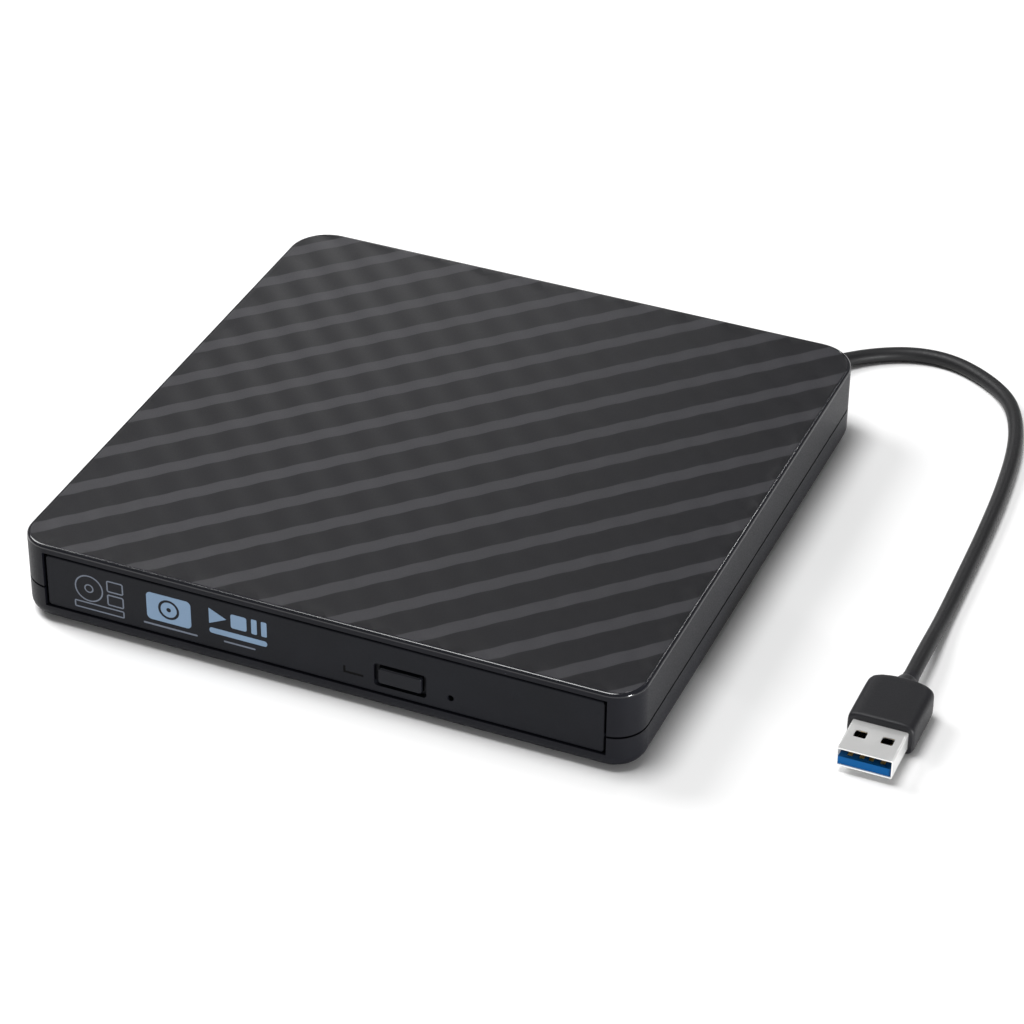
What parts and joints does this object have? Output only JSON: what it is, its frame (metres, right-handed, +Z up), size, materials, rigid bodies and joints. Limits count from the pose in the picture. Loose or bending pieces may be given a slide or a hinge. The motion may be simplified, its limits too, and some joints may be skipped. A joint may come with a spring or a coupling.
{
  "type": "external optical drive",
  "caption": "Flat square two-shell case with rounded corners around a slim disc drive with a sliding tray, and a short lead with a rectangular plug.",
  "frame": {"origin": "on the surface that the feet stand on, under the middle of the case", "axes": "+X right along the front, +Y from the front (tray side) to the back, +Z up"},
  "size_m": [0.1919, 0.1783, 0.02],
  "materials": {
    "cover_plastic": "moulded with slanting light and dark bands, fine matt",
    "shell_plastic": "fine matt",
    "bezel_plastic": "fine matt",
    "button_plastic": "satin",
    "foot_rubber": "matt",
    "screw_steel": "zinc plated",
    "circuit_board": "solder mask",
    "chip_black": "moulded epoxy",
    "connector_black": "moulded",
    "cord_rubber": "soft matt",
    "wire_copper": "insulated wire",
    "plug_plastic": "soft matt",
    "plug_steel": "nickel plated",
    "plug_blue": "moulded",
    "contact_gold": "gold plated",
    "sheet_steel": "galvanised sheet",
    "rod_steel": "ground",
    "guide_nylon": "moulded",
    "flex_film": "polyimide film",
    "tray_plastic": "moulded",
    "led_clear": "translucent",
    "coil_copper": "enamelled wire",
    "painted_cover": "semi-matt paint",
    "damper_rubber": "matt",
    "motor_can": "drawn",
    "latch_plastic": "moulded acetal",
    "magnet_dark": "sintered",
    "hub_plastic": "turned",
    "sled_metal": "die cast",
    "lens_glass": "coated"
  },
  "bodies": {
    "case": {"top_cover": "cover_plastic", "bottom_shell": "shell_plastic", "rubber_feet": "foot_rubber", "case_screws": "screw_steel", "bridge_board": "circuit_board", "bridge_parts": "chip_black", "bridge_socket": "connector_black", "cable_gland": "cord_rubber", "cable_wires": "wire_copper", "cord": "cord_rubber", "plug_overmold": "plug_plastic", "plug_shell": "plug_steel", "plug_tongue": "plug_blue", "plug_contacts": "contact_gold", "chassis_pan": "sheet_steel", "chassis_lid": "sheet_steel", "drive_bracket": "sheet_steel", "drive_screws": "screw_steel", "main_board": "circuit_board", "main_board_parts": "chip_black", "drive_connector": "connector_black", "lock_post": "rod_steel", "rail_guides": "guide_nylon", "flex_cable": "flex_film"},
    "tray": {"tray_frame": "tray_plastic", "bezel": "bezel_plastic", "led_window": "led_clear", "tray_bottom_plate": "sheet_steel", "tray_board": "circuit_board", "eject_switch": "connector_black", "led": "led_clear", "flex_socket": "guide_nylon", "latch_pin": "rod_steel", "solenoid": "coil_copper", "ejector_spring": "rod_steel", "traverse_plate": "sheet_steel", "traverse_cover": "painted_cover", "traverse_dampers": "damper_rubber", "traverse_screws": "screw_steel", "guide_rods": "rod_steel", "feed_motor": "motor_can", "screw_bearing": "guide_nylon", "spindle_stator": "coil_copper"},
    "left_rail": {"left_rail": "sheet_steel"},
    "right_rail": {"right_rail": "sheet_steel"},
    "eject_button": {"eject_button": "button_plastic", "switch_stem": "guide_nylon"},
    "latch": {"latch_lever": "latch_plastic"},
    "armature": {"solenoid_armature": "rod_steel"},
    "ejector": {"ejector_plunger": "latch_plastic"},
    "spindle": {"spindle_shaft": "rod_steel", "spindle_rotor": "motor_can", "rotor_magnet": "magnet_dark", "disc_hub": "hub_plastic", "chuck_balls": "rod_steel", "hub_ring": "damper_rubber"},
    "pickup": {"pickup_sled": "sled_metal", "lens_holder": "connector_black", "objective_lens": "lens_glass"},
    "lead_screw": {"lead_screw": "rod_steel"}
  },
  "joints": [
    {"name": "tray_slide", "type": "slide", "parent": "case", "child": "tray", "axis": [0, -1, 0], "range_m": [0, 0.128], "deforming": ["flex_cable"]},
    {"name": "left_rail_slide", "type": "slide", "parent": "case", "child": "left_rail", "axis": [0, -1, 0], "range_m": [0, 0.064]},
    {"name": "right_rail_slide", "type": "slide", "parent": "case", "child": "right_rail", "axis": [0, -1, 0], "range_m": [0, 0.064]},
    {"name": "eject_button_press", "type": "slide", "parent": "tray", "child": "eject_button", "axis": [0, 1, 0], "range_m": [0, 0.0005], "stiffness_N_per_m": 1500},
    {"name": "latch_swing", "type": "hinge", "parent": "tray", "child": "latch", "pos_m": [0.0505, -0.06, 0.008], "axis": [0, 0, 1], "range_deg": [0, 10]},
    {"name": "armature_slide", "type": "slide", "parent": "tray", "child": "armature", "axis": [0, 1, 0], "range_m": [-0.0024, 0]},
    {"name": "ejector_slide", "type": "slide", "parent": "tray", "child": "ejector", "axis": [0, 1, 0], "range_m": [0, 0.012], "deforming": ["ejector_spring"]},
    {"name": "spindle_spin", "type": "hinge", "parent": "tray", "child": "spindle", "pos_m": [0, -0.0055, 0.0143], "axis": [0, 0, 1], "continuous": true},
    {"name": "pickup_slide", "type": "slide", "parent": "tray", "child": "pickup", "axis": [-0.7071, -0.7071, 0], "range_m": [0, 0.0335]},
    {"name": "lead_screw_spin", "type": "hinge", "parent": "tray", "child": "lead_screw", "pos_m": [-0.01881, -0.00253, 0.01], "axis": [-0.7071, -0.7071, 0], "range_deg": [0, 4025]}
  ],
  "couplings": [
    {"joint": "left_rail_slide", "follows": "tray_slide", "ratio": 0.5},
    {"joint": "right_rail_slide", "follows": "tray_slide", "ratio": 0.5},
    {"joint": "ejector_slide", "follows": "tray_slide", "ratio": 0.09375},
    {"joint": "latch_swing", "follows": "armature_slide", "rad_per_m": -71.429},
    {"joint": "lead_screw_spin", "follows": "pickup_slide", "rad_per_m": 2094.4}
  ]
}
